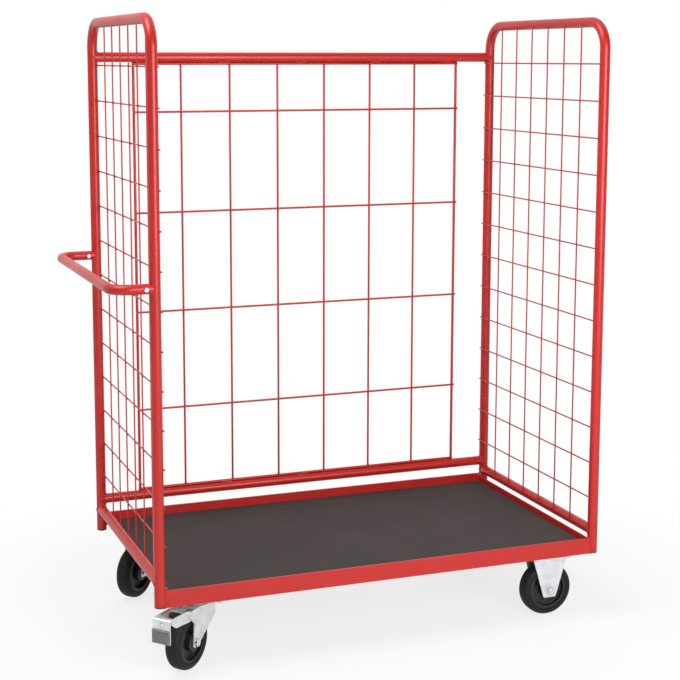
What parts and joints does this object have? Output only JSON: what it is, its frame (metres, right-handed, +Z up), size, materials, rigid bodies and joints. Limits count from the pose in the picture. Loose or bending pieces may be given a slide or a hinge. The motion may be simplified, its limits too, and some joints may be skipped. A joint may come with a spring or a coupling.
{
  "type": "mesh shelf trolley",
  "caption": "Three-sided roll trolley with a low dark deck, tube end frames and back panel filled with wire mesh, a push handle, fixed casters at one end and swivel casters at the other.",
  "frame": {"origin": "middle of the four posts, on the deck's top face", "axes": "+Z up, +X along the trolley away from the push handle, +Y towards the back panel"},
  "size_m": [1.384, 0.7645, 1.67],
  "materials": {
    "red_paint": "semi-gloss red powder coat on tube, wire and angle iron",
    "dark_board": "dark brown film-faced plywood, satin",
    "zinc_sheet": "bright zinc-plated pressed sheet",
    "bright_steel": "zinc-plated steel fasteners, turned faces",
    "black_tyre": "solid black rubber, matt",
    "grey_plastic": "dark moulded wheel centre",
    "grey_rubber": "grey ribbed pad on the brake pedal",
    "black_plastic": "black moulded tube plugs"
  },
  "bodies": {
    "trolley_frame": {"back_bottom_rail": "red_paint", "back_mesh_crosswires": "red_paint", "back_mesh_rim": "red_paint", "back_mesh_uprights": "red_paint", "back_rail": "red_paint", "back_top_rail": "red_paint", "caster_bolts": "bright_steel", "caster_nuts": "bright_steel", "deck_board": "dark_board", "deck_screws": "bright_steel", "fixed_axle_nuts": "bright_steel", "fixed_axles": "bright_steel", "front_left_ball_race": "zinc_sheet", "front_left_head_plate": "zinc_sheet", "front_left_kingpin": "bright_steel", "front_rail": "red_paint", "front_right_bracket": "zinc_sheet", "handle_bolts": "bright_steel", "handle_nuts": "bright_steel", "handle_spigots": "red_paint", "left_caster_bearer": "red_paint", "left_end_rail": "red_paint", "left_hoop": "red_paint", "left_lower_rail": "red_paint", "left_mesh_crosswires": "red_paint", "left_mesh_uprights": "red_paint", "post_plugs": "black_plastic", "push_handle": "red_paint", "rear_left_ball_race": "zinc_sheet", "rear_left_head_plate": "zinc_sheet", "rear_left_kingpin": "bright_steel", "rear_right_bracket": "zinc_sheet", "right_caster_bearer": "red_paint", "right_end_rail": "red_paint", "right_hoop": "red_paint", "right_lower_rail": "red_paint", "right_mesh_crosswires": "red_paint", "right_mesh_uprights": "red_paint"},
    "front_left_caster": {"front_left_fork": "zinc_sheet", "front_left_axle": "bright_steel", "front_left_axle_nut": "bright_steel", "front_left_brake_pin": "bright_steel"},
    "rear_left_caster": {"rear_left_fork": "zinc_sheet", "rear_left_axle": "bright_steel", "rear_left_axle_nut": "bright_steel"},
    "front_left_brake": {"front_left_brake_pedal": "zinc_sheet", "front_left_brake_shoe": "black_plastic", "front_left_pedal_pad": "grey_rubber"},
    "front_left_wheel": {"front_left_tyre": "black_tyre", "front_left_rim": "grey_plastic", "front_left_bearing": "bright_steel"},
    "rear_left_wheel": {"rear_left_tyre": "black_tyre", "rear_left_rim": "grey_plastic", "rear_left_bearing": "bright_steel"},
    "front_right_wheel": {"front_right_tyre": "black_tyre", "front_right_rim": "grey_plastic", "front_right_bearing": "bright_steel"},
    "rear_right_wheel": {"rear_right_tyre": "black_tyre", "rear_right_rim": "grey_plastic", "rear_right_bearing": "bright_steel"}
  },
  "joints": [
    {"name": "front_left_swivel", "type": "hinge", "parent": "trolley_frame", "child": "front_left_caster", "pos_m": [-0.515, -0.282, -0.052], "axis": [0, 0, 1], "continuous": true},
    {"name": "front_left_wheel_spin", "type": "hinge", "parent": "front_left_caster", "child": "front_left_wheel", "pos_m": [-0.54896, -0.31152, -0.139], "axis": [0.6561, -0.7547, 0], "continuous": true},
    {"name": "rear_left_swivel", "type": "hinge", "parent": "trolley_frame", "child": "rear_left_caster", "pos_m": [-0.515, 0.282, -0.052], "axis": [0, 0, 1], "continuous": true},
    {"name": "rear_left_wheel_spin", "type": "hinge", "parent": "rear_left_caster", "child": "rear_left_wheel", "pos_m": [-0.54791, 0.25131, -0.139], "axis": [0.682, -0.7314, 0], "continuous": true},
    {"name": "front_right_wheel_spin", "type": "hinge", "parent": "trolley_frame", "child": "front_right_wheel", "pos_m": [0.509, -0.282, -0.139], "axis": [0, 1, 0], "continuous": true},
    {"name": "rear_right_wheel_spin", "type": "hinge", "parent": "trolley_frame", "child": "rear_right_wheel", "pos_m": [0.509, 0.282, -0.139], "axis": [0, 1, 0], "continuous": true},
    {"name": "front_left_brake_tip", "type": "hinge", "parent": "front_left_caster", "child": "front_left_brake", "pos_m": [-0.56481, -0.3253, -0.059], "axis": [0.6561, -0.7547, 0], "range_deg": [0, 9]}
  ]
}
